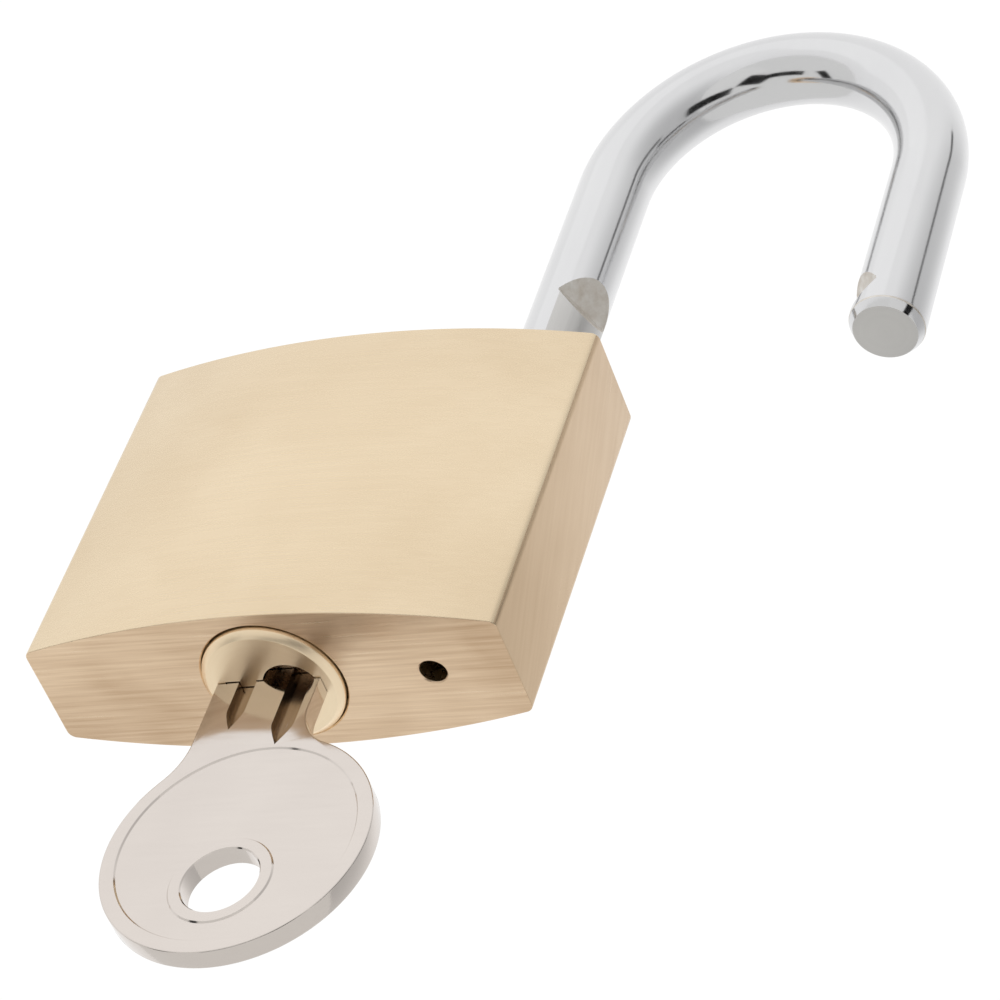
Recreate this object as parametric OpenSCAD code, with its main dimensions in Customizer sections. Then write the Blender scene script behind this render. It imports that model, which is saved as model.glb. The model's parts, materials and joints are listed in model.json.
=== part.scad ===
// Brass block padlock with a lift-and-swing shackle, a pin-tumbler core and its key.
// Modelled open: shackle raised and swung just past half a turn, key turned half a turn.
// Origin: keyway mouth, where the plug's axis meets the block's bottom face.
// +X towards the long leg, +Y towards the back, +Z towards the shackle.

/* [Body] */
// Width of the brass block
body_w = 51; // [50:0.5:56]
// Height of the block
body_h = 42; // [42:0.5:46]
// Thickness over the crown of the two faces
body_mid_t = 17.8; // [17.6:0.1:19]
// Thickness at the narrow sides
body_side_t = 11.8; // [11.6:0.1:13]
// Radius of the four upright corners
corner_r = 1; // [0.8:0.1:2]
// Bore of the drain hole under the long leg
drain_d = 2.8; // [2:0.1:3]

/* [Shackle] */
// Diameter of the shackle's round bar
bar_d = 8; // [7.9:0.05:8.1]
// Distance between the axes of the two legs
leg_pitch = 35; // [34.5:0.25:35.5]
// How far the shackle rises when it opens
lift = 15.6; // [15:0.1:17.5]
// Height of the straight legs above the block when open
leg_rise = 31.8; // [26:0.1:34]
// Height of the bend above the straight legs
crown_rise = 21.2; // [20:0.1:24]
// Height of the toe's end above the block when open
toe_gap = 6.5; // [5.5:0.25:7]
// Turn of the locking notches away from the plane of the shackle
notch_turn = 30; // [25:1:35]
// How far past half a turn the open shackle stands
swing_past = 4.5; // [0:0.5:6]

/* [Lock core] */
// Diameter of the plug
plug_d = 12.9; // [12.8:0.05:12.95]
// Diameter of the plug's head
head_d = 14.6; // [14:0.1:14.8]
// How far the head stands out of the block
head_proud = 0.9; // [0.5:0.1:1.2]
// Thickness of the cam disc that draws the bolts
cam_t = 4.6; // [4.4:0.1:4.7]

/* [Bolts] */
// Diameter of the two locking bolts
bolt_d = 4.4; // [4:0.1:4.4]
// Travel of each bolt in half a turn of the key
bolt_stroke = 2.1; // [2:0.05:2.1]
// Depth of the bolts' axis below the top of the block
bolt_drop = 5; // [5:0.1:5.2]

/* [Pins] */
// Diameter of the key pins and driver pins
pin_d = 3; // [2.6:0.1:3]
// Height of the first pin above the bottom face
first_pin_z = 5.5; // [5.3:0.1:5.6]
// Distance from one pin to the next
pin_pitch = 4; // [3.9:0.05:4]

/* [Key] */
// Thickness of the key blank
key_t = 2.2; // [2:0.1:2.4]
// Radius of the round bow
bow_r = 13.6; // [12:0.1:14]
// Depth of the bow's centre below the bottom face
bow_drop = 22.2; // [22:0.1:26]
// Offset of the bow's centre from the plug's axis
bow_shift = 3.6; // [0:0.1:4]
// Radius of the hole for a key ring
ring_hole_r = 3.9; // [3:0.1:4.2]

/* [Hidden] */
$fn = 64;

slack = 0.05;              // radial clearance of a running fit
eps = 0.5;                 // how far a cutting tool runs past a face
face_gap = 0.1;            // gap between two faces that stand end to end

// Block
half_w = body_w / 2;
crown_drop = (body_mid_t - body_side_t) / 2;
crown_r = (half_w * half_w + crown_drop * crown_drop) / (2 * crown_drop);
crown_y = body_mid_t / 2 - crown_r;
crown_steps = 1440;        // sides that a full circle of the crown would have
corner_x = half_w - corner_r;
corner_y = crown_y + sqrt(pow(crown_r - corner_r, 2) - pow(corner_x, 2));
corner_turn = atan2(corner_y - crown_y, corner_x);
core_pocket_z = 35.6;      // top of the bore for the plug and the cam disc
heel_floor_z = 3;          // floor of the long leg's bore
head_seat_z = 2.2;         // depth of the counterbore for the plug's head
mouth_chamfer = 0.4;
drain_x = 17;
head_gap = 0.2;            // about the plug's head

// Shackle, open
bar_r = bar_d / 2;
heel_x = leg_pitch / 2;
toe_z = body_h + toe_gap;
bend_z = body_h + leg_rise;
bolt_z = body_h - bolt_drop;
notch_z = bolt_z + lift;
heel_tail = 6;             // long leg below the bolts' axis
heel_z = bolt_z - heel_tail;
neck_r = 2;                // waist of the long leg that the bolt can enter when open
neck_h = 5.2;
neck_cone = 0.6;
bend_steps = 36;
bar_sides = 48;
bend_r = bar_r - 0.01;     // keeps the bend's corners just inside the legs
heel_notch_depth = 2.1;
heel_notch_h = 6.2;
toe_notch_depth = 1.3;
toe_notch_h = 4.6;
toe_chamfer_h = 1.1;
toe_chamfer_in = 0.6;
socket_slack = 0.15;
socket_room = 1;           // below the short leg when it is down
toe_socket_r = bar_r + socket_slack;
toe_socket_z = toe_z - lift - socket_room;
cap_t = 1.5;
cap_gap = 0.2;

// Springs
shackle_wire = 0.9;
shackle_turns = 8.5;
shackle_coil_r = 3.2;
driver_wire = 0.36;
driver_turns = 8;
driver_coil_r = 1.12;

// Plug and cam disc
plug_r = plug_d / 2;
core_r = plug_r + slack;
head_r = head_d / 2;
head_chamfer = 0.6;
plug_top_z = 29;
cam_top_z = plug_top_z + face_gap + cam_t;
cam_play = 0.3;
cam_r = core_r - cam_play;
tang_w = 4.2;
tang_h = 1.9;
groove_r = 5;              // floor of the groove for the retaining pin
groove_h = 2.4;
retainer_z = 25.8;
retainer_r = 1;
retainer_play = 0.3;       // between the pin and the groove's floor
recess_x = 2.3;            // shallow round recess beside the keyway
recess_r = 3;
recess_depth = 1.5;
peg_r = 0.7;
peg_clear = 0.2;           // between the peg's end and the slot's floor
peg_stub = 0.8;            // peg above the bolt's axis
peg_in_r = 2.3;            // peg's distance from the plug's axis, bolts withdrawn
slot_half_w = peg_r + face_gap;
slot_depth = 2.1;
slot_steps = 24;

// Bolts
bolt_r = bolt_d / 2;
bolt_y = 1.2;
bolt_tip_r = 0.6;
bolt_nose = 1.7;
heel_bolt_tip_x = 13.35;
toe_bolt_tip_x = 12.4;
bolt_root_x = 0.6;
channel_cap_r = 2.6;
channel_cap_t = 3.2;

// Pins
pin_count = 5;
pin_r = pin_d / 2;
chamber_r = pin_r + slack;
pin_end_x = plug_r - 0.25;
pin_tip_r = 0.5;
pin_tip_h = 0.9;
driver_x = plug_r + face_gap;
driver_len = 5;
cap_r = 1.85;
chamber_cap_t = 2.5;

// Key
blade_back_x = -4.5;
blade_edge_x = 4.6;
blade_tip_z = 24.2;
keyway_top_z = 24.5;
keyway_slack = 0.1;
first_cut = 0.5;
cut_step = 0.5;
cut_flat = 1.1;            // half the flat at each cut
tip_cut = 1.6;             // last cut's run-out at the tip
tip_slope_x = 3.5;
tip_slope_z = 4;
neck_left_x = -5.5;
neck_right_x = 5.7;
shoulder_z = -head_proud - slack;
left_fillet_r = 8;
right_fillet_r = 5;
blend_lap = 0.02;          // how far a blend's circle runs into the bow
rim_w = 1.5;
face_depth = 0.15;
ring_rim_w = 1.2;
ring_hole_drop = 4.7;
mill_depth = 0.75;
runout_share = 0.42;       // a channel's point, as a share of its width
runout_min = 1.6;
left_mill_x = -2.1;
left_mill_w = 2;
left_mill_end = -7.4;
right_mill_x = 3.65;
right_mill_w = 2.5;
right_mill_end = -9.7;

function pin_z(i) = first_pin_z + (i - 1) * pin_pitch;
function cut_x(i) = blade_edge_x - first_cut - (i - 1) * cut_step;

// ---- Shapes shared by several pieces ----

// A round bar along X from x0 to x1.
module bar_x(x0, x1, r) {
    translate([x0, 0, 0]) rotate([0, 90, 0]) cylinder(r = r, h = x1 - x0);
}

// A round hole with a chamfered mouth, cut downwards from height top.
module mouthed_bore(r, floor_z, top) {
    translate([0, 0, floor_z]) cylinder(r = r, h = top - floor_z + eps);
    translate([0, 0, top - mouth_chamfer])
        cylinder(r1 = r, r2 = r + mouth_chamfer + eps, h = mouth_chamfer + eps);
}

// Triangles that close a tube of rings, each ring having sides points.
function tube_faces(rings, sides) = concat(
    [
        for (i = [0 : rings - 2], j = [0 : sides - 1], half = [0, 1])
            let (a = i * sides + j,
                 b = i * sides + (j + 1) % sides)
            half == 0 ? [a, a + sides, b] : [b, a + sides, b + sides]
    ],
    [[for (j = [0 : sides - 1]) j]],
    [[for (j = [sides - 1 : -1 : 0]) (rings - 1) * sides + j]]);

// A coil spring standing on z = 0, with per_turn rings a turn.
module coil(coil_r, wire_r, turns, height, per_turn, wire_sides) {
    steps = turns * per_turn;
    points = [
        for (i = [0 : steps], j = [0 : wire_sides - 1])
            let (a = 360 * i / per_turn,
                 b = 360 * j / wire_sides,
                 r = coil_r + wire_r * cos(b),
                 z = wire_r + (height - 2 * wire_r) * i / steps + wire_r * sin(b))
            [r * cos(a), r * sin(a), z]
    ];
    polyhedron(points = points, faces = tube_faces(steps + 1, wire_sides));
}

// ---- Block ----

// What rounding takes off one corner of the block's outline.
module corner_waste() {
    far = 4 * corner_r;
    difference() {
        polygon([
            [corner_x, corner_y],
            [corner_x + far, corner_y],
            [corner_x + far, corner_y + far],
            [corner_x + far * cos(corner_turn), corner_y + far * sin(corner_turn)]
        ]);
        translate([corner_x, corner_y]) circle(r = corner_r);
    }
}

// Plan of the block: flat narrow sides, crowned front and back.
module block_outline() {
    difference() {
        intersection() {
            square([body_w, body_mid_t + eps], center = true);
            translate([0, crown_y]) circle(r = crown_r, $fn = crown_steps);
            translate([0, -crown_y]) circle(r = crown_r, $fn = crown_steps);
        }
        for (mx = [0, 1], my = [0, 1])
            mirror([mx, 0, 0]) mirror([0, my, 0]) corner_waste();
    }
}

module body() {
    color("burlywood") difference() {
        linear_extrude(height = body_h) block_outline();
        translate([heel_x, 0, 0]) mouthed_bore(bar_r + slack, heel_floor_z, body_h);
        translate([-heel_x, 0, 0]) mouthed_bore(toe_socket_r, toe_socket_z, body_h);
        translate([drain_x, 0, -eps]) cylinder(r = drain_d / 2, h = heel_floor_z + 2 * eps);
        translate([0, 0, -eps]) cylinder(r = head_r + head_gap, h = head_seat_z + eps);
        translate([0, 0, -eps]) cylinder(r = core_r, h = core_pocket_z + eps);
        translate([0, bolt_y, bolt_z]) bar_x(-half_w - eps, heel_x, bolt_r + slack);
        translate([0, bolt_y, bolt_z])
            bar_x(-half_w - eps, -half_w + channel_cap_t, channel_cap_r);
        translate([0, 0, retainer_z]) bar_x(-half_w - eps, 0, retainer_r);
        for (i = [1 : pin_count]) translate([0, 0, pin_z(i)]) {
            bar_x(-half_w - eps, 0, chamber_r);
            bar_x(-half_w - eps, -half_w + chamber_cap_t, cap_r);
        }
    }
}

module chamber_caps() {
    color("tan") for (i = [1 : pin_count])
        translate([0, 0, pin_z(i)]) bar_x(-half_w, -half_w + chamber_cap_t, cap_r);
}

module plug_retaining_pin() {
    color("tan") translate([0, 0, retainer_z])
        bar_x(-half_w, -groove_r - retainer_play, retainer_r);
}

module bolt_channel_cap() {
    color("tan") translate([0, bolt_y, bolt_z])
        bar_x(-half_w, -half_w + channel_cap_t, channel_cap_r);
}

// ---- Shackle ----

// A V across the bar, facing +X, with its root depth below the surface.
module v_notch(depth, height) {
    over = (depth + eps) / depth * height / 2;
    rotate([90, 0, 0]) translate([0, 0, -bar_r - eps])
        linear_extrude(height = bar_d + 2 * eps)
            polygon([[bar_r - depth, 0], [bar_r + eps, -over], [bar_r + eps, over]]);
}

// Long leg: chamfered end, turned waist, then full diameter up to the bend.
module heel_leg() {
    neck_lo = bolt_z - neck_h / 2;
    neck_hi = bolt_z + neck_h / 2;
    rotate_extrude() polygon([
        [0, heel_z],
        [bar_r - neck_cone, heel_z],
        [bar_r, heel_z + neck_cone],
        [bar_r, neck_lo],
        [neck_r, neck_lo + neck_cone],
        [neck_r, neck_hi - neck_cone],
        [bar_r, neck_hi],
        [bar_r, bend_z],
        [0, bend_z]
    ]);
}

// Short leg with its turned and chamfered end.
module toe_leg() {
    rotate_extrude() polygon([
        [0, toe_z],
        [bar_r - toe_chamfer_in, toe_z],
        [bar_r, toe_z + toe_chamfer_h],
        [bar_r, bend_z],
        [0, bend_z]
    ]);
}

// Centreline of the bend, a tall half ellipse, as [x, z, tangent angle].
function bend_point(i) =
    let (a = 180 * i / bend_steps)
    [leg_pitch / 2 * (1 - cos(a)),
     bend_z + crown_rise * sin(a),
     atan2(crown_rise * cos(a), leg_pitch / 2 * sin(a))];

// The bend of the bar, run a little way down inside both straight legs.
module bend() {
    path = concat(
        [[0, bend_z - eps, 90]],
        [for (i = [0 : bend_steps]) bend_point(i)],
        [[leg_pitch, bend_z - eps, -90]]);
    points = [
        for (p = path, j = [0 : bar_sides - 1])
            let (b = -360 * j / bar_sides,
                 out = bend_r * cos(b))
            [p[0] - out * sin(p[2]), bend_r * sin(b), p[1] + out * cos(p[2])]
    ];
    polyhedron(points = points, faces = tube_faces(len(path), bar_sides));
}

// The shackle drawn about its long leg's axis.
module shackle() {
    color("gainsboro") translate([heel_x, 0, 0]) rotate([0, 0, swing_past]) difference() {
        union() {
            heel_leg();
            translate([leg_pitch, 0, 0]) toe_leg();
            bend();
        }
        translate([0, 0, notch_z]) rotate([0, 0, -notch_turn])
            v_notch(heel_notch_depth, heel_notch_h);
        translate([leg_pitch, 0, notch_z]) rotate([0, 0, 180 + notch_turn])
            v_notch(toe_notch_depth, toe_notch_h);
    }
}

module spring_cap() {
    color("silver") translate([heel_x, 0, heel_z - cap_gap - cap_t])
        cylinder(r = bar_r - socket_slack, h = cap_t);
}

module shackle_spring() {
    length = heel_z - cap_gap - cap_t - heel_floor_z - 2 * face_gap;
    color("darkgray") translate([heel_x, 0, heel_floor_z + face_gap])
        coil(shackle_coil_r, shackle_wire / 2, shackle_turns, length, 16, 8);
}

// ---- Key ----

// Blade section across the key: a flat bar with two milled channels in its front.
// grow widens the bar and narrows the channels, for the keyway.
module blade_section(grow) {
    difference() {
        translate([blade_back_x - grow, -key_t / 2 - grow])
            square([blade_edge_x - blade_back_x + 2 * grow, key_t + 2 * grow]);
        for (m = [[left_mill_x, left_mill_w], [right_mill_x, right_mill_w]])
            translate([m[0] - m[1] / 2 + grow, -key_t / 2 - grow - eps])
                square([m[1] - 2 * grow, mill_depth + eps]);
    }
}

// What cutting takes off the blade: steps that get deeper towards the tip.
module cut_waste() {
    steps = [
        for (i = [1 : pin_count], side = [-1, 1])
            [cut_x(i), pin_z(i) + side * cut_flat]
    ];
    outline = concat(
        [[blade_edge_x + eps, pin_z(1) - cut_flat - first_cut - eps]],
        steps,
        [[cut_x(pin_count) - tip_cut, blade_tip_z + eps], [blade_edge_x + eps, blade_tip_z + eps]]);
    rotate([90, 0, 0]) translate([0, 0, -key_t])
        linear_extrude(height = 2 * key_t) polygon(outline);
}

// Slope on the back of the blade's tip.
module tip_waste() {
    rotate([90, 0, 0]) translate([0, 0, -key_t]) linear_extrude(height = 2 * key_t)
        polygon([
            [blade_back_x - eps, blade_tip_z - tip_slope_z],
            [blade_back_x + tip_slope_x, blade_tip_z + eps],
            [blade_back_x - eps, blade_tip_z + eps]
        ]);
}

// Concave blend from the neck's side at neck_x to the round bow.
module neck_blend(neck_x, r) {
    side = sign(neck_x);
    cx = neck_x + side * r;
    cz = -bow_drop + sqrt(pow(bow_r + r - blend_lap, 2) - pow(cx - bow_shift, 2));
    inner = (bow_r - eps) / (bow_r + r);
    difference() {
        polygon([
            [0, cz],
            [neck_x, cz],
            [cx, cz],
            [bow_shift + inner * (cx - bow_shift), -bow_drop + inner * (cz + bow_drop)],
            [0, -bow_drop]
        ]);
        translate([cx, cz]) circle(r = r);
    }
}

// Face outline of the bow and neck, in X and Z.
module bow_outline() {
    translate([bow_shift, -bow_drop]) circle(r = bow_r);
    translate([neck_left_x, -bow_drop])
        square([neck_right_x - neck_left_x, bow_drop + shoulder_z]);
    neck_blend(neck_left_x, left_fillet_r);
    neck_blend(neck_right_x, right_fillet_r);
}

// Shallow dished face of the bow, leaving a rim and a ring about the hole.
module face_waste() {
    difference() {
        translate([bow_shift, -bow_drop]) circle(r = bow_r - rim_w);
        translate([bow_shift, -bow_drop - ring_hole_drop]) circle(r = ring_hole_r + ring_rim_w);
    }
}

// Pointed run-out of a milled channel in the key's neck.
module mill_runout(x, w, end_z) {
    point_z = end_z + runout_share * w + runout_min;
    polygon([
        [x - w / 2, 0],
        [x - w / 2, point_z],
        [x, end_z],
        [x + w / 2, point_z],
        [x + w / 2, 0]
    ]);
}

// Stands a drawing in X and Z upright, with its near face at y = y0 and depth t.
module upright(y0, t) {
    translate([0, y0 + t, 0]) rotate([90, 0, 0]) linear_extrude(height = t) children();
}

module key() {
    color("lightgray") difference() {
        union() {
            upright(-key_t / 2, key_t) bow_outline();
            translate([0, 0, shoulder_z - 1])
                linear_extrude(height = blade_tip_z - shoulder_z + 1) blade_section(0);
        }
        cut_waste();
        tip_waste();
        upright(-key_t / 2 - eps, mill_depth + eps) {
            mill_runout(left_mill_x, left_mill_w, left_mill_end);
            mill_runout(right_mill_x, right_mill_w, right_mill_end);
        }
        upright(-key_t / 2 - eps, face_depth + eps) face_waste();
        upright(key_t / 2 - face_depth, face_depth + eps) face_waste();
        upright(-key_t, 2 * key_t)
            translate([bow_shift, -bow_drop - ring_hole_drop]) circle(r = ring_hole_r);
    }
}

// ---- Plug ----

module plug() {
    color("burlywood") difference() {
        union() {
            rotate_extrude() polygon([
                [0, -head_proud],
                [head_r - head_chamfer, -head_proud],
                [head_r, -head_proud + head_chamfer],
                [head_r, head_seat_z - face_gap],
                [plug_r, head_seat_z - face_gap],
                [plug_r, retainer_z - groove_h / 2],
                [groove_r, retainer_z - groove_h / 2],
                [groove_r, retainer_z + groove_h / 2],
                [plug_r, retainer_z + groove_h / 2],
                [plug_r, plug_top_z],
                [0, plug_top_z]
            ]);
            translate([-tang_w / 2, -tang_w / 2, plug_top_z - eps])
                cube([tang_w, tang_w, tang_h + eps]);
        }
        translate([0, 0, -head_proud - eps])
            linear_extrude(height = keyway_top_z + head_proud + eps)
                blade_section(keyway_slack);
        translate([recess_x, 0, -head_proud - eps]) cylinder(r = recess_r, h = recess_depth + eps);
        for (i = [1 : pin_count])
            translate([0, 0, pin_z(i)]) bar_x(0, plug_r + eps, chamber_r);
    }
}

// Spiral slot centreline: radius grows evenly while the disc turns half a turn.
function slot_point(k, offset) =
    let (a = -180 * k / slot_steps,
         r = peg_in_r + bolt_stroke * k / slot_steps + offset)
    [r * cos(a), r * sin(a)];

module cam_slot() {
    outer = [for (k = [0 : slot_steps]) slot_point(k, slot_half_w)];
    inner = [for (k = [slot_steps : -1 : 0]) slot_point(k, -slot_half_w)];
    translate([0, 0, cam_top_z - slot_depth]) linear_extrude(height = slot_depth + eps) {
        polygon(concat(outer, inner));
        translate(slot_point(0, 0)) circle(r = slot_half_w);
        translate(slot_point(slot_steps, 0)) circle(r = slot_half_w);
    }
}

module cam_disc() {
    color("darkkhaki") difference() {
        translate([0, 0, plug_top_z + face_gap]) cylinder(r = cam_r, h = cam_t);
        translate([-tang_w / 2 - face_gap, -tang_w / 2 - face_gap, plug_top_z - eps])
            cube([tang_w + 2 * face_gap, tang_w + 2 * face_gap, tang_h + face_gap + eps]);
        cam_slot();
        rotate([0, 0, 180]) cam_slot();
    }
}

// ---- Bolts ----

// A bolt along +X with a coned nose, from the root to tip_x, bored for its peg.
module bolt(tip_x) {
    difference() {
        translate([0, bolt_y, bolt_z]) rotate([0, 90, 0]) rotate_extrude() polygon([
            [0, bolt_root_x],
            [bolt_r, bolt_root_x],
            [bolt_r, tip_x - bolt_nose],
            [bolt_tip_r, tip_x],
            [0, tip_x]
        ]);
        translate([peg_in_r, 0, bolt_z - bolt_r]) cylinder(r = peg_r, h = bolt_d);
    }
}

module bolt_peg() {
    bottom = cam_top_z - slot_depth + peg_clear;
    translate([peg_in_r, 0, bottom]) cylinder(r = peg_r, h = bolt_z + peg_stub - bottom);
}

module heel_bolt() {
    color("silver") bolt(heel_bolt_tip_x);
}

module heel_bolt_peg() {
    color("gray") bolt_peg();
}

module toe_bolt() {
    color("silver") mirror([1, 0, 0]) bolt(toe_bolt_tip_x);
}

module toe_bolt_peg() {
    color("gray") mirror([1, 0, 0]) bolt_peg();
}

// ---- Pins ----

// Key pin i: coned tip on its cut in the blade, outer end just inside the plug.
module key_pin(i) {
    tip_x = cut_x(i) + face_gap;
    color("goldenrod") translate([0, 0, pin_z(i)]) rotate([0, 90, 0])
        rotate_extrude() polygon([
            [0, tip_x],
            [pin_tip_r, tip_x],
            [pin_r, tip_x + pin_tip_h],
            [pin_r, pin_end_x],
            [0, pin_end_x]
        ]);
}

module driver_pin(i) {
    color("goldenrod") translate([0, 0, pin_z(i)])
        bar_x(-driver_x - driver_len, -driver_x, pin_r);
}

module driver_spring(i) {
    back = half_w - chamber_cap_t - face_gap;
    length = back - driver_x - driver_len - face_gap;
    color("darkgray") translate([-back, 0, pin_z(i)]) rotate([0, 90, 0])
        coil(driver_coil_r, driver_wire / 2, driver_turns, length, 12, 6);
}

body();
chamber_caps();
plug_retaining_pin();
bolt_channel_cap();
shackle();
spring_cap();
shackle_spring();
plug();
cam_disc();
key();
heel_bolt();
heel_bolt_peg();
toe_bolt();
toe_bolt_peg();
key_pin(1);  // key_pin_1
key_pin(2);  // key_pin_2
key_pin(3);  // key_pin_3
key_pin(4);  // key_pin_4
key_pin(5);  // key_pin_5
driver_pin(1);  // driver_pin_1
driver_pin(2);  // driver_pin_2
driver_pin(3);  // driver_pin_3
driver_pin(4);  // driver_pin_4
driver_pin(5);  // driver_pin_5
driver_spring(1);  // driver_spring_1
driver_spring(2);  // driver_spring_2
driver_spring(3);  // driver_spring_3
driver_spring(4);  // driver_spring_4
driver_spring(5);  // driver_spring_5
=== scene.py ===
"""Looks for an open block padlock and its key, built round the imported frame.

Each sub-assembly is a class that holds its sizes in millimetres and builds its own meshes.
"""

import json
import logging
import math
from dataclasses import dataclass, replace
from enum import Enum
from typing import Sequence

import bmesh
import bpy
from mathutils import Matrix, Vector


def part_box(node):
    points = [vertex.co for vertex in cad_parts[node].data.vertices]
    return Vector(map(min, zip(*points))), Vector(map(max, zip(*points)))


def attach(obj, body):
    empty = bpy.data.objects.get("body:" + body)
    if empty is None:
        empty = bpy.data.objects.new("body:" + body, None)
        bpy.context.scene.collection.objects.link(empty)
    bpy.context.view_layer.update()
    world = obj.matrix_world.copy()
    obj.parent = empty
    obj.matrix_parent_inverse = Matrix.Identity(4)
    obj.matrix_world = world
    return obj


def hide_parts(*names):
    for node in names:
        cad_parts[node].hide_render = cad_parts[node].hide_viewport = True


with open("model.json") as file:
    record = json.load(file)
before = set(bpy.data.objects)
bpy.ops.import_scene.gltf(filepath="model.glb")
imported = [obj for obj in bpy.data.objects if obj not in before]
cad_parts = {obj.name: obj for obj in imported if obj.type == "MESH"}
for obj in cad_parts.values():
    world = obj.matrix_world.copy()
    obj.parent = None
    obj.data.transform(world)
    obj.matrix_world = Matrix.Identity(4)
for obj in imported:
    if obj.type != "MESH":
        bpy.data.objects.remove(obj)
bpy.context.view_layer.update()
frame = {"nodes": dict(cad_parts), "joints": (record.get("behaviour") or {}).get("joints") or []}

MM = 0.001
# Points nearer than this are welded, and faces that turn by less than this are merged.
WELD_MM = 0.0005
FLAT_DEGREES = 0.05
# Leeway for telling a cut face from the surface that it was cut into.
NEAR_MM = 0.02
# How strongly the streaks, their depth and the soft patches show in every finish.
STREAK_CONTRAST = 1.6
MARK_DEPTH_MM = 0.05
PATCH_SHARE = 0.5
Point = tuple[float, float]
Colour = tuple[float, float, float]
log = logging.getLogger("padlock")


# ---------------------------------------------------------------- measures


def low_high_mm(node: str) -> tuple[Vector, Vector]:
    """Corners of a CAD node's box.

    Args:
        node: name of the CAD node.

    Returns:
        Its lowest and highest corner in millimetres.
    """
    low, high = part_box(node)
    return Vector(low) / MM, Vector(high) / MM


def joint_point_mm(name: str) -> Vector:
    """A point on a hinge's axis, in millimetres.

    Args:
        name: name of the joint.

    Returns:
        The point that the record gives for it.
    """
    found = next(j for j in frame["joints"] if j["name"] == name)
    return Vector(found["pos_m"]) / MM


def arc(centre: Point, radius: float, start: float, stop: float, steps: int) -> list[Point]:
    """Points along a circular arc, both ends included.

    Args:
        centre: centre of the arc.
        radius: its radius.
        start: angle of the first point, in degrees.
        stop: angle of the last point, in degrees.
        steps: number of chords.

    Returns:
        The points, in order.
    """
    points = []
    for i in range(steps + 1):
        a = math.radians(start + (stop - start) * i / steps)
        points.append((centre[0] + radius * math.cos(a), centre[1] + radius * math.sin(a)))
    return points


# ---------------------------------------------------------------- meshes


STAND_UP = Matrix(((1, 0, 0), (0, 0, -1), (0, 1, 0))).to_4x4()


class Mesh:
    """A mesh under construction, in millimetres."""

    def __init__(self, name: str) -> None:
        """Starts an empty mesh that will become an object called name."""
        self.name = name
        self.bm = bmesh.new()

    def ring(self, points: Sequence[Sequence[float]]) -> list[bmesh.types.BMVert]:
        """Adds one loop of vertices."""
        return [self.bm.verts.new(p) for p in points]

    def skin(self, rings: Sequence[list[bmesh.types.BMVert]]) -> None:
        """Joins each ring to the next with quads and closes both ends."""
        for low, high in zip(rings, rings[1:]):
            for i in range(len(low)):
                j = (i + 1) % len(low)
                self.bm.faces.new((low[i], low[j], high[j], high[i]))
        self.bm.faces.new(list(reversed(rings[0])))
        self.bm.faces.new(rings[-1])

    def stand_up(self, origin: Sequence[float]) -> "Mesh":
        """Stands a drawing in X and Z upright, with its depth along Y, at origin."""
        self.bm.transform(Matrix.Translation(origin) @ STAND_UP)
        return self

    def to_object(self, smooth_below: float = 30.0) -> bpy.types.Object:
        """Finishes the mesh as an object in metres.

        Args:
            smooth_below: edges that turn by less than this many degrees are shaded smooth.

        Returns:
            The new object, linked to the scene.
        """
        bmesh.ops.recalc_face_normals(self.bm, faces=self.bm.faces)
        self.bm.transform(Matrix.Scale(MM, 4))
        data = bpy.data.meshes.new(self.name)
        self.bm.to_mesh(data)
        self.bm.free()
        obj = bpy.data.objects.new(self.name, data)
        bpy.context.scene.collection.objects.link(obj)
        shade(obj, smooth_below)
        return obj


def shade(obj: bpy.types.Object, smooth_below: float) -> None:
    """Shades faces smooth, with sharp edges where they turn by more than smooth_below degrees."""
    data = obj.data
    data.polygons.foreach_set("use_smooth", [True] * len(data.polygons))
    data.set_sharp_from_angle(angle=math.radians(smooth_below))


def lathe(name: str, profile: Sequence[Point], sides: int = 96) -> Mesh:
    """A solid of revolution about the drawing's Z axis.

    Args:
        name: name of the mesh.
        profile: (radius, height) points from one end to the other, all off the axis.
        sides: number of facets round the axis.

    Returns:
        The closed mesh.
    """
    mesh = Mesh(name)
    rings = []
    for radius, height in profile:
        turn = arc((0, 0), radius, 0, 360 * (sides - 1) / sides, sides - 1)
        rings.append(mesh.ring([(x, y, height) for x, y in turn]))
    mesh.skin(rings)
    return mesh


def inset(outline: Sequence[Point], distance: float) -> list[Point]:
    """An anticlockwise outline moved inwards.

    Args:
        outline: the points of the outline.
        distance: how far each side moves.

    Returns:
        The moved points, one for each point of the outline.
    """
    moved = []
    count = len(outline)
    least_cosine = 0.4
    for i, (x, y) in enumerate(outline):
        before = Vector((x, y)) - Vector(outline[i - 1])
        after = Vector(outline[(i + 1) % count]) - Vector((x, y))
        a = Vector((-before.y, before.x)).normalized()
        b = Vector((-after.y, after.x)).normalized()
        middle = (a + b).normalized()
        reach = distance / max(least_cosine, middle.dot(a))
        moved.append((x + middle.x * reach, y + middle.y * reach))
    return moved


def rounded_prism(
    name: str, outline: Sequence[Point], low: float, high: float, edge: float
) -> Mesh:
    """A straight prism whose end edges are rounded.

    Args:
        name: name of the mesh.
        outline: anticlockwise outline.
        low: height of the lower end.
        high: height of the upper end.
        edge: radius of the end edges, or 0 for sharp ones.

    Returns:
        The closed mesh.
    """
    mesh = Mesh(name)
    turns = [0.0] if edge == 0 else [0.0, 22.5, 45.0, 67.5, 90.0]
    rings = []
    for turn in turns:
        a = math.radians(turn)
        loop = inset(outline, edge * (1 - math.sin(a)))
        rings.append(mesh.ring([(x, y, low + edge * (1 - math.cos(a))) for x, y in loop]))
    for turn in reversed(turns):
        a = math.radians(turn)
        loop = inset(outline, edge * (1 - math.sin(a)))
        rings.append(mesh.ring([(x, y, high - edge * (1 - math.cos(a))) for x, y in loop]))
    mesh.skin(rings)
    return mesh


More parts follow.
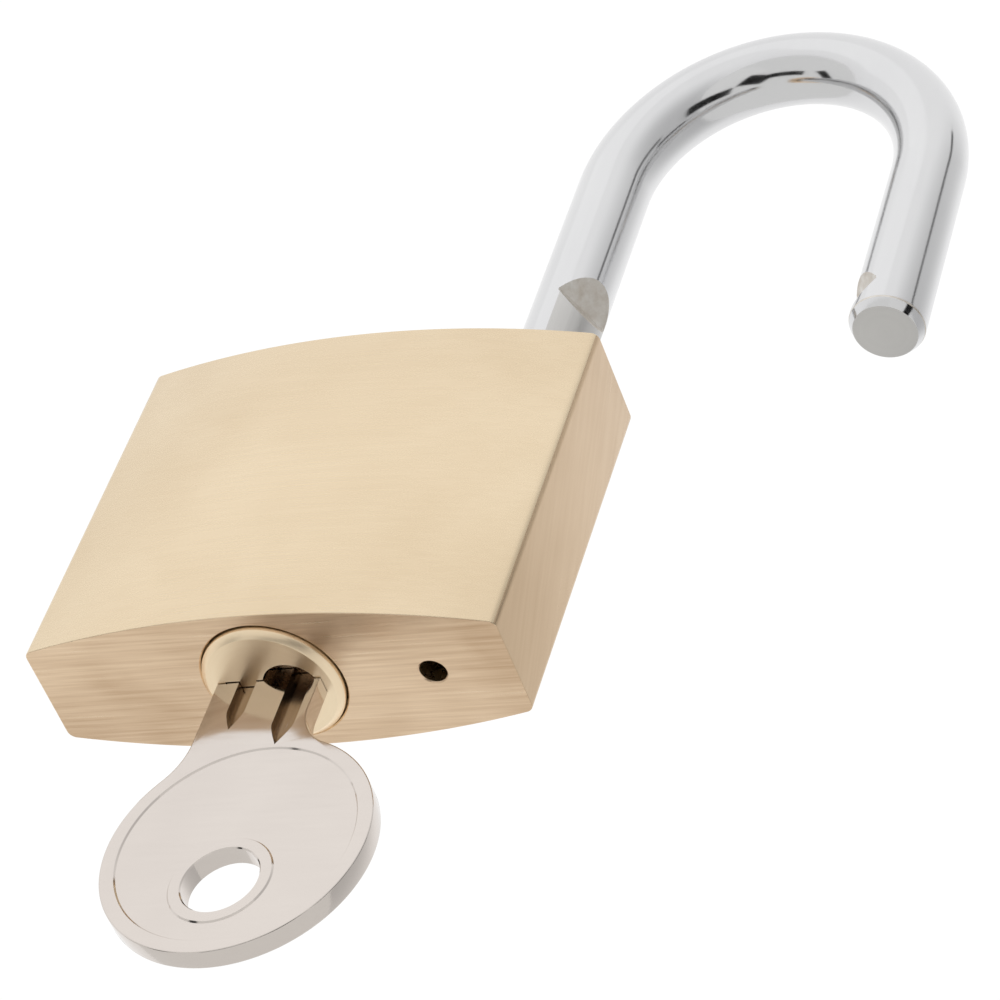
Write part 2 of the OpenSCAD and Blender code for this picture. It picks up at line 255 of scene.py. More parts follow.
def settle(obj: bpy.types.Object) -> None:
    """Makes an object's modifiers part of its mesh."""
    bpy.context.view_layer.update()
    evaluated = obj.evaluated_get(bpy.context.evaluated_depsgraph_get())
    data = bpy.data.meshes.new_from_object(evaluated)
    old = obj.data
    obj.modifiers.clear()
    obj.data = data
    data.name = obj.name
    bpy.data.meshes.remove(old)


def combine(
    obj: bpy.types.Object,
    tools: Sequence[Mesh],
    operation: str = "DIFFERENCE",
    solver: str = "MANIFOLD",
) -> None:
    """Cuts tools out of an object, or adds them to it, one after the other.

    Args:
        obj: the object that changes.
        tools: the meshes that cut or join.
        operation: DIFFERENCE or UNION.
        solver: MANIFOLD, or EXACT where that one fails.
    """
    helpers = [tool.to_object() for tool in tools]
    for helper in helpers:
        step = obj.modifiers.new(helper.name, "BOOLEAN")
        step.operation = operation
        step.solver = solver
        step.object = helper
    settle(obj)
    for helper in helpers:
        bpy.data.objects.remove(helper)


def clean(obj: bpy.types.Object, smooth_below: float = 30.0) -> None:
    """Welds a cut mesh, merges its flat faces and shades it again."""
    bm = bmesh.new()
    bm.from_mesh(obj.data)
    bmesh.ops.remove_doubles(bm, verts=bm.verts, dist=WELD_MM * MM)
    flat = math.radians(FLAT_DEGREES)
    bmesh.ops.dissolve_limit(bm, angle_limit=flat, verts=bm.verts, edges=bm.edges)
    bm.to_mesh(obj.data)
    bm.free()
    shade(obj, smooth_below)


def bore(name: str, radius: float, low: float, high: float, mouth: float = 0.0) -> Mesh:
    """A round cutting tool along Z that may widen at its upper end.

    Args:
        name: name of the tool.
        radius: radius of the bore.
        low: height of its floor.
        high: height of its mouth.
        mouth: size of the 45 degree chamfer at the mouth.

    Returns:
        The tool, which runs 1 mm past the mouth.
    """
    past = 1.0
    profile = [(radius, low), (radius, high - mouth)]
    if mouth > 0:
        profile.append((radius + mouth, high))
        profile.append((radius + mouth, high + past))
    else:
        profile.append((radius, high + past))
    return lathe(name, profile)


# ---------------------------------------------------------------- shader groups


@dataclass(frozen=True)
class Socket:
    """One named input or output of a shader group."""

    name: str
    kind: str
    value: object = None


class ShaderGroup:
    """A shader node group under construction."""

    def __init__(self, name: str, inputs: Sequence[Socket], outputs: Sequence[Socket]) -> None:
        """Creates the group and its sockets."""
        self.tree = bpy.data.node_groups.new(name, "ShaderNodeTree")
        for in_out, sockets in (("INPUT", inputs), ("OUTPUT", outputs)):
            for socket in sockets:
                made = self.tree.interface.new_socket(
                    name=socket.name, in_out=in_out, socket_type=f"NodeSocket{socket.kind}"
                )
                if socket.value is not None:
                    made.default_value = socket.value
        self.source = self.tree.nodes.new("NodeGroupInput")
        self.sink = self.tree.nodes.new("NodeGroupOutput")

    def node(self, kind: str, **settings: object) -> bpy.types.Node:
        """Adds a node and sets its properties."""
        return add_node(self.tree, kind, **settings)

    def link(self, start: bpy.types.NodeSocket, end: bpy.types.NodeSocket) -> None:
        """Joins two sockets."""
        self.tree.links.new(start, end)


def add_node(tree: bpy.types.NodeTree, kind: str, **settings: object) -> bpy.types.Node:
    """Adds a node to a tree.

    Args:
        tree: the tree.
        kind: the node's type name.
        **settings: properties to set on it.

    Returns:
        The new node.
    """
    node = tree.nodes.new(kind)
    for name, value in settings.items():
        setattr(node, name, value)
    return node


def brushing_group() -> bpy.types.NodeTree:
    """Streaks left by a brush or belt: noise drawn out along one axis."""
    group = ShaderGroup(
        "brushing",
        [
            Socket("Vector", "Vector"),
            Socket("Stretch", "Vector", (1.0, 1.0, 1.0)),
            Socket("Density", "Float", 3000.0),
            Socket("Contrast", "Float", 0.5),
        ],
        [Socket("Streak", "Float")],
    )
    drawn = group.node("ShaderNodeVectorMath", operation="MULTIPLY")
    group.link(group.source.outputs["Vector"], drawn.inputs[0])
    group.link(group.source.outputs["Stretch"], drawn.inputs[1])
    fine = group.node("ShaderNodeTexNoise")
    fine.inputs["Detail"].default_value = 3.0
    fine.inputs["Roughness"].default_value = 0.6
    group.link(drawn.outputs["Vector"], fine.inputs["Vector"])
    group.link(group.source.outputs["Density"], fine.inputs["Scale"])
    spread = group.node("ShaderNodeMath", operation="SUBTRACT")
    spread.inputs[1].default_value = 0.5
    group.link(fine.outputs["Fac"], spread.inputs[0])
    scaled = group.node("ShaderNodeMath", operation="MULTIPLY_ADD")
    scaled.inputs[2].default_value = 0.5
    group.link(spread.outputs[0], scaled.inputs[0])
    group.link(group.source.outputs["Contrast"], scaled.inputs[1])
    group.link(scaled.outputs[0], group.sink.inputs["Streak"])
    return group.tree


def patches_group() -> bpy.types.NodeTree:
    """Slow, soft patches, as handling and uneven polishing leave."""
    group = ShaderGroup(
        "soft_patches",
        [Socket("Vector", "Vector"), Socket("Scale", "Float", 60.0)],
        [Socket("Patch", "Float")],
    )
    noise = group.node("ShaderNodeTexNoise")
    noise.inputs["Detail"].default_value = 2.0
    noise.inputs["Distortion"].default_value = 0.4
    group.link(group.source.outputs["Vector"], noise.inputs["Vector"])
    group.link(group.source.outputs["Scale"], noise.inputs["Scale"])
    sharpen = group.node("ShaderNodeMapRange")
    sharpen.inputs["From Min"].default_value = 0.3
    sharpen.inputs["From Max"].default_value = 0.7
    group.link(noise.outputs["Fac"], sharpen.inputs["Value"])
    group.link(sharpen.outputs["Result"], group.sink.inputs["Patch"])
    return group.tree


def turning_group() -> bpy.types.NodeTree:
    """Rings left by a lathe tool about the vector's Z axis."""
    group = ShaderGroup(
        "turning_marks",
        [Socket("Vector", "Vector"), Socket("Pitch", "Float", 3000.0)],
        [Socket("Ring", "Float")],
    )
    flat = group.node("ShaderNodeVectorMath", operation="MULTIPLY")
    flat.inputs[1].default_value = (1.0, 1.0, 0.0)
    group.link(group.source.outputs["Vector"], flat.inputs[0])
    radius = group.node("ShaderNodeVectorMath", operation="LENGTH")
    group.link(flat.outputs["Vector"], radius.inputs[0])
    noise = group.node("ShaderNodeTexNoise", noise_dimensions="1D")
    noise.inputs["Detail"].default_value = 4.0
    noise.inputs["Roughness"].default_value = 0.7
    group.link(radius.outputs["Value"], noise.inputs["W"])
    group.link(group.source.outputs["Pitch"], noise.inputs["Scale"])
    group.link(noise.outputs["Fac"], group.sink.inputs["Ring"])
    return group.tree


class Marks(Enum):
    """What covers a finish; each value is the name of a shader group."""

    BRUSHED = "brushing"
    TURNED = "turning_marks"


# ---------------------------------------------------------------- finishes


@dataclass(frozen=True)
class Finish:
    """A metal surface: its colours, gloss and the marks that its making left."""

    name: str
    light: Colour
    dark: Colour
    gloss: tuple[float, float]
    marks: Marks = Marks.BRUSHED
    stretch: tuple[float, float, float] = (1.0, 1.0, 1.0)
    turn: tuple[float, float, float] = (0.0, 0.0, 0.0)
    centre: tuple[float, float, float] = (0.0, 0.0, 0.0)
    density: float = 3000.0
    tint: float = 0.3
    relief: float = 0.1
    patch_scale: float = 60.0

    def material(self) -> bpy.types.Material:
        """Builds the finish once and returns its material."""
        known = bpy.data.materials.get(self.name)
        if known is not None:
            return known
        made = bpy.data.materials.new(self.name)
        made.use_nodes = True
        tree = made.node_tree
        surface = tree.nodes["Principled BSDF"]
        surface.inputs["Metallic"].default_value = 1.0
        place = add_node(tree, "ShaderNodeTexCoord")
        mapping = add_node(tree, "ShaderNodeMapping", vector_type="TEXTURE")
        mapping.inputs["Location"].default_value = [c * MM for c in self.centre]
        mapping.inputs["Rotation"].default_value = [math.radians(a) for a in self.turn]
        tree.links.new(place.outputs["Object"], mapping.inputs["Vector"])
        mark = self.mark_socket(tree, mapping.outputs["Vector"])
        patch = add_node(tree, "ShaderNodeGroup", node_tree=bpy.data.node_groups["soft_patches"])
        patch.inputs["Scale"].default_value = self.patch_scale
        tree.links.new(place.outputs["Object"], patch.inputs["Vector"])
        self.colour(tree, mark, patch.outputs["Patch"], surface)
        rough = add_node(tree, "ShaderNodeMapRange")
        rough.inputs["To Min"].default_value = self.gloss[0]
        rough.inputs["To Max"].default_value = self.gloss[1]
        tree.links.new(mark, rough.inputs["Value"])
        tree.links.new(rough.outputs["Result"], surface.inputs["Roughness"])
        bump = add_node(tree, "ShaderNodeBump")
        bump.inputs["Strength"].default_value = self.relief
        bump.inputs["Distance"].default_value = MARK_DEPTH_MM * MM
        tree.links.new(mark, bump.inputs["Height"])
        tree.links.new(bump.outputs["Normal"], surface.inputs["Normal"])
        return made

    def mark_socket(
        self, tree: bpy.types.NodeTree, vector: bpy.types.NodeSocket
    ) -> bpy.types.NodeSocket:
        """Places the group for this finish's marks.

        Args:
            tree: the material's tree.
            vector: the coordinates that the marks follow.

        Returns:
            The group's output.
        """
        group = add_node(tree, "ShaderNodeGroup", node_tree=bpy.data.node_groups[self.marks.value])
        tree.links.new(vector, group.inputs["Vector"])
        if self.marks is Marks.TURNED:
            group.inputs["Pitch"].default_value = self.density
            return group.outputs["Ring"]
        group.inputs["Stretch"].default_value = self.stretch
        group.inputs["Density"].default_value = self.density
        group.inputs["Contrast"].default_value = STREAK_CONTRAST
        return group.outputs["Streak"]

    def colour(
        self,
        tree: bpy.types.NodeTree,
        mark: bpy.types.NodeSocket,
        patch: bpy.types.NodeSocket,
        surface: bpy.types.Node,
    ) -> None:
        """Mixes the two colours by the marks and the patches."""
        share = add_node(tree, "ShaderNodeMath", operation="MULTIPLY_ADD", use_clamp=True)
        share.inputs[1].default_value = self.tint
        slow = add_node(tree, "ShaderNodeMath", operation="MULTIPLY")
        slow.inputs[1].default_value = PATCH_SHARE
        tree.links.new(patch, slow.inputs[0])
        tree.links.new(mark, share.inputs[0])
        tree.links.new(slow.outputs[0], share.inputs[2])
        mix = add_node(tree, "ShaderNodeMix", data_type="RGBA")
        mix.inputs["A"].default_value = (*self.light, 1.0)
        mix.inputs["B"].default_value = (*self.dark, 1.0)
        tree.links.new(share.outputs[0], mix.inputs["Factor"])
        tree.links.new(mix.outputs["Result"], surface.inputs["Base Color"])


BRASS_FACE = Finish(
    "brass_satin_face", (0.78, 0.645, 0.46), (0.67, 0.53, 0.355), (0.24, 0.30),
    stretch=(0.025, 1.0, 1.0), density=2000.0, tint=0.24, relief=0.008,
)
BRASS_END = Finish(
    "brass_brushed_end", (0.98, 0.77, 0.55), (0.58, 0.40, 0.25), (0.22, 0.44),
    stretch=(0.03, 1.0, 1.0), density=2200.0, tint=0.62, relief=0.35,
)
BRASS_SIDE = Finish(
    "brass_brushed_side", (0.70, 0.53, 0.355), (0.58, 0.42, 0.265), (0.26, 0.36),
    stretch=(1.0, 1.0, 0.05), turn=(20.0, 0.0, 0.0), density=1600.0, relief=0.08,
)
BRASS_BORED = Finish(
    "brass_bored", (0.78, 0.60, 0.37), (0.60, 0.43, 0.24), (0.22, 0.40), relief=0.15,
)
BRASS_TURNED = Finish(
    "brass_turned", (0.99, 0.83, 0.60), (0.90, 0.71, 0.48), (0.30, 0.42),
    marks=Marks.TURNED, density=1400.0, relief=0.06,
)
# Painted shade: the keyway's faces take a much darker brass that stands in for the shade inside the
# slot.
BRASS_KEYWAY_PAINTED_SHADE = Finish(
    "brass_keyway", (0.34, 0.24, 0.15), (0.20, 0.14, 0.09), (0.20, 0.36), relief=0.1,
)
BRASS_CAP = Finish(
    "brass_cap", (0.80, 0.64, 0.42), (0.68, 0.51, 0.31), (0.26, 0.38),
    stretch=(1.0, 0.06, 1.0), density=2200.0, relief=0.1,
)
BRASS_PIN = Finish(
    "brass_pin", (0.82, 0.64, 0.34), (0.66, 0.48, 0.22), (0.18, 0.30), relief=0.08,
)
BRASS_CAM = Finish(
    "brass_cam", (0.72, 0.58, 0.32), (0.58, 0.44, 0.22), (0.26, 0.40),
    marks=Marks.TURNED, density=1200.0, relief=0.12,
)
CHROME = Finish(
    "chrome_bar", (0.70, 0.70, 0.705), (0.65, 0.65, 0.66), (0.10, 0.16),
    stretch=(1.0, 1.0, 0.12), density=900.0, tint=0.2, relief=0.015,
)
CHROME_TURNED = Finish(
    "chrome_turned_end", (0.60, 0.59, 0.57), (0.47, 0.46, 0.45), (0.26, 0.42),
    marks=Marks.TURNED, density=2200.0, relief=0.2,
)
CHROME_NOTCH = Finish(
    "chrome_rough_notch", (0.90, 0.89, 0.86), (0.60, 0.54, 0.47), (0.35, 0.60),
    density=900.0, tint=0.7, relief=0.5,
)
NICKEL_KEY = Finish(
    "nickel_key", (0.69, 0.635, 0.59), (0.635, 0.58, 0.54), (0.07, 0.15),
    stretch=(0.10, 1.0, 1.0), density=1500.0, relief=0.03,
)
# Milled grooves: a browner tone than the plating, darkened further as painted shade in the grooves.
NICKEL_MILLED_PAINTED_SHADE = Finish(
    "nickel_milled", (0.50, 0.40, 0.31), (0.34, 0.26, 0.19), (0.14, 0.28),
    stretch=(1.0, 1.0, 0.06), density=1800.0, tint=0.5, relief=0.1,
)
STEEL = Finish(
    "steel_machined", (0.66, 0.66, 0.67), (0.50, 0.50, 0.52), (0.24, 0.38), relief=0.1,
)
SPRING_STEEL = Finish(
    "steel_spring_wire", (0.52, 0.52, 0.54), (0.38, 0.38, 0.40), (0.26, 0.40), relief=0.06,
)


def part_finishes(obj: bpy.types.Object) -> None:
    """Keeps the shading crisp along every line where two finishes meet."""
    bm = bmesh.new()
    bm.from_mesh(obj.data)
    for edge in bm.edges:
        if len({face.material_index for face in edge.link_faces}) > 1:
            edge.smooth = False
    bm.to_mesh(obj.data)
    bm.free()


def dress(obj: bpy.types.Object, *finishes: Finish) -> None:
    """Gives an object one material slot for each finish, in order."""
    obj.data.materials.clear()
    for finish in finishes:
        obj.data.materials.append(finish.material())


def adopt(obj: bpy.types.Object, body: str, slot: str, *nodes: str) -> None:
    """Puts a finished piece on its body in place of CAD nodes.

    Args:
        obj: the piece.
        body: the body that it rides on.
        slot: the record's material slot; not used.
        *nodes: the CAD nodes that it replaces.
    """
    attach(obj, body)
    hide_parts(*nodes)
    log.info("%s on %s: %d faces, in place of %s", obj.name, body, len(obj.data.polygons), nodes)


# ---------------------------------------------------------------- block


@dataclass
class Bore:
    """A round hole in the block: its axis, centre, radius and the stretch that it covers."""

    name: str
    radius: float
    start: float
    stop: float
    across: Point
    along_x: bool = False
    mouth: float = 0.0

    def tool(self) -> Mesh:
        """The cutting tool for this hole; stop is the mouth."""
        if not self.along_x:
            flip = self.stop < self.start
            low, high = (-self.start, -self.stop) if flip else (self.start, self.stop)
            mesh = bore(self.name, self.radius, low, high, self.mouth)
            if flip:
                mesh.bm.transform(Matrix.Diagonal((1, -1, -1, 1)))
            mesh.bm.transform(Matrix.Translation((*self.across, 0)))
            return mesh
        length = self.start - self.stop
        mesh = bore(self.name, self.radius, 0, length, self.mouth)
        mesh.bm.transform(Matrix.Rotation(math.radians(-90), 4, "Y"))
        mesh.bm.transform(Matrix.Translation((self.start, *self.across)))
        return mesh


# Order of the block's finishes.
FACE, END, SIDE, BORED = range(4)


@dataclass
class Block:
    """The crowned brass block with all its bores."""

    side_thickness: float = 11.8
    corner_r: float = 1.0
    edge_r: float = 0.14
    crown_steps: int = 56
    corner_steps: int = 10
    slack: float = 0.05
    mouth: float = 0.4
    soft_mouth: float = 0.12
    overlap: float = 0.5
    spring_gap: float = 0.1
    socket_slack: float = 0.15
    socket_depth: float = 10.1
    drain_r: float = 1.4
    drain_shift: float = 0.5
    head_slack: float = 0.2
    head_depth: float = 2.2
    core_r: float = 6.5
    core_top: float = 35.6
    channel_r: float = 2.25

    def crown(self, half_w: float, half_t: float) -> tuple[float, float]:
        """Radius of the crowned faces, and the Y of the back one's centre."""
        rise = half_t - self.side_thickness / 2
        crown_r = (half_w**2 + rise**2) / (2 * rise)
        return crown_r, half_t - crown_r

    def outline(self, half_w: float, half_t: float) -> list[Point]:
        """Plan of the block, anticlockwise.

        Args:
            half_w: half the block's width.
            half_t: half its thickness over the crown.

        Returns:
            The points of the outline.
        """
        crown_r, crown_y = self.crown(half_w, half_t)
        corner_x = half_w - self.corner_r
        corner_y = crown_y + math.sqrt((crown_r - self.corner_r) ** 2 - corner_x**2)
        turn = math.degrees(math.atan2(corner_y - crown_y, corner_x))
        corner = arc((corner_x, corner_y), self.corner_r, 0, turn, self.corner_steps)
        crown = arc((0, crown_y), crown_r, turn, 180 - turn, self.crown_steps)
        right_back = corner + crown[1:-1]
        left_back = [(-x, y) for x, y in reversed(corner)]
        back = right_back + left_back
        return back + [(-x, -y) for x, y in back]

    def bores(self, half_w: float, height: float) -> list[Bore]:
        """Every hole in the block."""
        leg_low, leg_high = low_high_mm("shackle")
        heel_x = joint_point_mm("shackle_swing").x
        bar_r = heel_x - leg_low.x
        cap_low, cap_high = low_high_mm("bolt_channel_cap")
        caps_low, caps_high = low_high_mm("chamber_caps")
        pin_low, pin_high = low_high_mm("plug_retaining_pin")
        head_r = low_high_mm("plug")[1].x
        bolt_y = (cap_low.y + cap_high.y) / 2
        bolt_z = (cap_low.z + cap_high.z) / 2
        cap_r = (cap_high.z - cap_low.z) / 2
        small_cap_r = (caps_high.y - caps_low.y) / 2
        floor_z = low_high_mm("shackle_spring")[0].z - self.spring_gap
        left = -half_w
        heel, toe, middle = (heel_x, 0), (-heel_x, 0), (0, 0)
        drain, bolts = (heel_x - self.drain_shift, 0), (bolt_y, bolt_z)
        socket_r, socket_z = bar_r + self.socket_slack, height - self.socket_depth
        seat_r = head_r + self.head_slack
        pin_r, pin_z = (pin_high.y - pin_low.y) / 2, (pin_low.z + pin_high.z) / 2
        holes = [
            Bore("heel_bore", bar_r + self.slack, floor_z, height, heel, mouth=self.mouth),
            Bore("toe_socket", socket_r, socket_z, height, toe, mouth=self.mouth),
            Bore("drain", self.drain_r, floor_z + self.overlap, 0, drain, mouth=self.soft_mouth),
            Bore("head_seat", seat_r, self.head_depth, 0, middle, mouth=self.soft_mouth),
            Bore("core_bore", self.core_r, self.core_top, 0, middle),
            Bore("bolt_channel", self.channel_r, heel_x, left, bolts, along_x=True),
            Bore("channel_cap_seat", cap_r, cap_high.x, left, bolts, along_x=True),
            Bore("retaining_pin_hole", pin_r, 0, left, (0, pin_z), along_x=True),
        ]
        for i in range(1, 6):
            low, high = low_high_mm(f"driver_pin_{i}")
            centre = (0, (low.z + high.z) / 2)
            radius = (high.z - low.z) / 2 + self.slack
            seat = f"chamber_cap_seat_{i}"
            holes.append(Bore(f"chamber_{i}", radius, 0, left, centre, along_x=True))
            holes.append(Bore(seat, small_cap_r, caps_high.x, left, centre, along_x=True))
        return holes

    def build(self) -> None:
        """Makes the block, cuts its bores and dresses its faces."""
        low, high = low_high_mm("body")
        outline = self.outline(high.x, high.y)
        obj = rounded_prism("brass_block", outline, low.z, high.z, self.edge_r).to_object()
        combine(obj, [hole.tool() for hole in self.bores(high.x, high.z)])
        clean(obj)
        dress(obj, BRASS_FACE, BRASS_END, BRASS_SIDE, BRASS_BORED)
        for face in obj.data.polygons:
            face.material_index = self.slot_for(face, low, high)
        adopt(obj, "block", "brass_block", "body")

    def slot_for(self, face: bpy.types.MeshPolygon, low: Vector, high: Vector) -> int:
        """Which of the block's finishes a face takes: front, end, side or bore."""
        centre = face.center / MM
        near = 2 * self.edge_r
        if abs(face.normal.z) > 0.7 and (centre.z < low.z + near or centre.z > high.z - near):
            return END
        if abs(centre.x) > high.x - 0.5 * self.corner_r and abs(face.normal.x) > 0.8:
            return SIDE
        on_crown = abs(centre.y) > self.side_thickness / 2 - self.corner_r
        if on_crown and abs(face.normal.z) < 0.9 and self.is_skin(centre, high):
            return FACE
        return BORED

    def is_skin(self, centre: Vector, high: Vector) -> bool:
        """True if a point lies on the block's outer skin rather than in a bore."""
        crown_r, crown_y = self.crown(high.x, high.y)
        reach = math.hypot(centre.x, abs(centre.y) - crown_y)
        return reach > crown_r - 1.0


# ---------------------------------------------------------------- swept bars


def sweep_tree() -> bpy.types.NodeTree:
    """Geometry nodes that sweep a round bar along an edge path, with named sizes."""
    tree = bpy.data.node_groups.new("sweep_round_bar", "GeometryNodeTree")
    sockets = (
        ("Path", "Geometry", None),
        ("Bar Radius", "Float", 0.004),
        ("Sides", "Int", 96),
        ("Finish", "Material", None),
    )
    for name, kind, value in sockets:
        made = tree.interface.new_socket(name=name, in_out="INPUT", socket_type=f"NodeSocket{kind}")
        if value is not None:
            made.default_value = value
    tree.interface.new_socket(name="Bar", in_out="OUTPUT", socket_type="NodeSocketGeometry")
    source = add_node(tree, "NodeGroupInput")
    sink = add_node(tree, "NodeGroupOutput")
    path = add_node(tree, "GeometryNodeMeshToCurve")
    girth = add_node(tree, "GeometryNodeInputNamedAttribute", data_type="FLOAT")
    girth.inputs["Name"].default_value = "girth"
    circle = add_node(tree, "GeometryNodeCurvePrimitiveCircle")
    sweep = add_node(tree, "GeometryNodeCurveToMesh")
    sweep.inputs["Fill Caps"].default_value = True
    realize = add_node(tree, "GeometryNodeRealizeInstances")
    finish = add_node(tree, "GeometryNodeSetMaterial")
    tree.links.new(source.outputs["Path"], path.inputs["Mesh"])
    tree.links.new(girth.outputs["Attribute"], sweep.inputs["Scale"])
    tree.links.new(source.outputs["Bar Radius"], circle.inputs["Radius"])
    tree.links.new(source.outputs["Sides"], circle.inputs["Resolution"])
    tree.links.new(path.outputs["Curve"], sweep.inputs["Curve"])
    tree.links.new(circle.outputs["Curve"], sweep.inputs["Profile Curve"])
    tree.links.new(sweep.outputs["Mesh"], realize.inputs["Geometry"])
    tree.links.new(realize.outputs["Geometry"], finish.inputs["Geometry"])
    tree.links.new(source.outputs["Finish"], finish.inputs["Material"])
    tree.links.new(finish.outputs["Geometry"], sink.inputs["Bar"])
    return tree


@dataclass
class SweptBar:
    """A round bar along a path, each point with its share of the full radius."""

    name: str
    path: list[Vector]
    girth: list[float]
    radius: float
    sides: int

    def to_object(self, tree: bpy.types.NodeTree, finish: Finish) -> bpy.types.Object:
        """Runs the sweep and returns a plain mesh object.

        Args:
            tree: the geometry nodes from sweep_tree.
            finish: what the bar is dressed in.

        Returns:
            The bar.
        """
        data = bpy.data.meshes.new(self.name)
        edges = [(i, i + 1) for i in range(len(self.path) - 1)]
        data.from_pydata([p * MM for p in self.path], edges, [])
        share = data.attributes.new("girth", "FLOAT", "POINT")
        share.data.foreach_set("value", self.girth)
        obj = bpy.data.objects.new(self.name, data)
        bpy.context.scene.collection.objects.link(obj)
        step = obj.modifiers.new("sweep", "NODES")
        step.node_group = tree
        values = {"Bar Radius": self.radius * MM, "Sides": self.sides, "Finish": finish.material()}
        for item in tree.interface.items_tree:
            if item.in_out == "INPUT" and item.name in values:
                step[item.identifier] = values[item.name]
        settle(obj)
        shade(obj, 30.0)
        return obj


@dataclass
class Shackle:
    """The bent bar with its waist, turned toe and two locking notches."""

    leg_pitch: float = 35.0
    crown_rise: float = 21.2
    swing_past: float = 4.5
    waist: float = 0.5
    bolt_drop: float = 5.0
    neck_height: float = 5.2
    neck_cone: float = 0.6
    toe_gap: float = 6.5
    lift: float = 15.6
    notch_turn: float = 30.0
    heel_notch: Point = (2.1, 6.2)
    toe_notch: Point = (1.3, 4.6)
    notch_root: float = 0.22
    notch_band: float = 3.2
    leg_step: float = 2.0
    leg_steps: int = 16
    bend_steps: int = 96
    sides: int = 96

    def measure(self) -> None:
        """Reads the bar's radius and heights from the frame."""
        low, high = low_high_mm("shackle")
        self.axis = joint_point_mm("shackle_swing")
        self.bar_r = self.axis.x - low.x
        self.block_top = low_high_mm("body")[1].z
        self.heel_z = low.z
        self.toe_z = self.block_top + self.toe_gap
        self.bend_z = high.z - self.bar_r - self.crown_rise
        self.notch_z = self.block_top - self.bolt_drop + self.lift

    def heel_stations(self) -> list[Point]:
        """Heights and radii up the long leg, from its end to the start of the bend."""
        r = self.bar_r
        bolt_z = self.block_top - self.bolt_drop
        low, high = bolt_z - self.neck_height / 2, bolt_z + self.neck_height / 2
        waist = r * self.waist
        return [
            (self.heel_z, r - self.neck_cone),
            (self.heel_z + self.neck_cone, r),
            (low, r),
            (low + self.neck_cone, waist),
            (high - self.neck_cone, waist),
            (high, r),
        ] + [(self.block_top + self.leg_step * i, r) for i in range(self.leg_steps)]

    def toe_stations(self) -> list[Point]:
        """Heights and radii from the bend down to the short leg's turned end."""
        r, toe = self.bar_r, self.toe_z
        chamfer = [
            (1.35, 0.0), (1.10, 0.035), (0.92, 0.10), (0.12, 0.55), (0.03, 0.62), (0.0, 0.72),
        ]
        return [(toe + rise, r - cut) for rise, cut in chamfer]

    def bar(self) -> SweptBar:
        """The whole bar as a path with its girth at each point."""
        path, girth = [], []
        turn = Matrix.Rotation(math.radians(self.swing_past), 4, "Z")

        def add(x: float, z: float, radius: float) -> None:
            """Adds one station, x measured from the long leg's axis."""
            path.append(Vector((self.axis.x, 0, 0)) + turn @ Vector((x, 0, z)))
            girth.append(radius / self.bar_r)

        for z, radius in self.heel_stations():
            add(0, z, radius)
        half = self.leg_pitch / 2
        for i in range(self.bend_steps + 1):
            a = math.pi * i / self.bend_steps
            add(half * (1 - math.cos(a)), self.bend_z + self.crown_rise * math.sin(a), self.bar_r)
        for z, radius in self.toe_stations():
            add(self.leg_pitch, z, radius)
        return SweptBar("shackle_bar", path, girth, self.bar_r, self.sides)

    def notch(self, name: str, x: float, facing: float, depth: float, height: float) -> Mesh:
        """A cutting tool for one locking notch, its root a little rounded.

        Args:
            name: name of the tool.
            x: distance of the leg from the long leg's axis.
            facing: direction that the notch opens in, in degrees from +X, before the swing.
            depth: depth of the root below the bar's surface.
            height: height of the notch at the surface.

        Returns:
            The tool.
        """
        root = self.bar_r - depth
        slope = height / 2 / depth
        out = self.bar_r + 1
        soft = self.notch_root
        outline = [
            (root + soft, -soft * slope),
            (out, -(out - root) * slope),
            (out, (out - root) * slope),
            (root + soft, soft * slope),
            (root + 0.35 * soft, 0.45 * soft * slope),
            (root + 0.35 * soft, -0.45 * soft * slope),
        ]
        mesh = rounded_prism(name, outline, -self.bar_r - 1, self.bar_r + 1, 0)
        mesh.stand_up((0, 0, self.notch_z))
        mesh.bm.transform(Matrix.Rotation(math.radians(facing), 4, "Z"))
        mesh.bm.transform(Matrix.Translation((x, 0, 0)))
        mesh.bm.transform(Matrix.Rotation(math.radians(self.swing_past), 4, "Z"))
        mesh.bm.transform(Matrix.Translation((self.axis.x, 0, 0)))
        return mesh

    def build(self, tree: bpy.types.NodeTree) -> None:
        """Makes the shackle and dresses its bar, toe end and notches."""
        self.measure()
        obj = self.bar().to_object(tree, CHROME)
        combine(obj, [
            self.notch("heel_notch", 0, -self.notch_turn, *self.heel_notch),
            self.notch("toe_notch", self.leg_pitch, 180 + self.notch_turn, *self.toe_notch),
        ])
        clean(obj)
        past = math.radians(self.swing_past)
        reach = Vector((math.cos(past), math.sin(past))) * self.leg_pitch
        heel_axis = Vector((self.axis.x, 0))
        toe_axis = heel_axis + reach
        turned = replace(CHROME_TURNED, centre=(toe_axis.x, toe_axis.y, 0))
        dress(obj, CHROME, turned, CHROME_NOTCH)
        for face in obj.data.polygons:
            centre = face.center / MM
            face.material_index = 0
            if self.block_top < centre.z < self.toe_z + NEAR_MM:
                face.material_index = 1
            elif abs(centre.z - self.notch_z) < self.notch_band:
                near_toe = centre.x > self.axis.x + self.leg_pitch / 2
                axis = toe_axis if near_toe else heel_axis
                if (centre.xy - axis).length < self.bar_r - 0.03:
                    face.material_index = 2
        part_finishes(obj)
        adopt(obj, "shackle", "shackle_chrome", "shackle")


